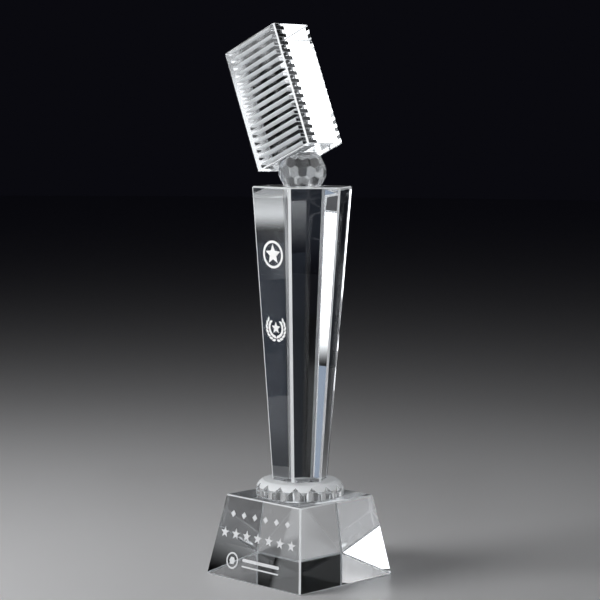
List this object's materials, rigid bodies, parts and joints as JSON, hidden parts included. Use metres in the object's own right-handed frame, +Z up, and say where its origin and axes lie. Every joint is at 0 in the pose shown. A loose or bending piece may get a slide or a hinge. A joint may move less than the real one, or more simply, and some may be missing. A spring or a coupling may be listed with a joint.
{
  "type": "crystal column trophy",
  "caption": "Clear crystal award: pyramid-frustum base, lobed collar, tapered hexagonal column, faceted ball and a leaning slotted microphone-shaped head.",
  "frame": {"origin": "centre of the base block's underside", "axes": "+Z up the column; the face with the emblems looks towards -Y; the microphone head leans towards -X"},
  "size_m": [0.0927, 0.0798, 0.3316],
  "materials": {
    "clear_crystal": "polished optical crystal",
    "clear_adhesive": "cured clear UV adhesive",
    "white_enamel": "matt white colour fill in a sandblasted recess",
    "frosted_fill": "thin greyish-white fill in a sandblasted recess"
  },
  "bodies": {
    "root": {"base_block": "clear_crystal", "base_ornament_fill": "frosted_fill", "base_glue_film": "clear_adhesive", "collar_disc": "clear_crystal", "collar_glue_film": "clear_adhesive", "column": "clear_crystal", "upper_emblem_fill": "white_enamel", "lower_emblem_fill": "white_enamel", "column_glue_film": "clear_adhesive", "neck_ball": "clear_crystal", "head_glue_film": "clear_adhesive", "microphone_head": "clear_crystal"}
  },
  "joints": []
}
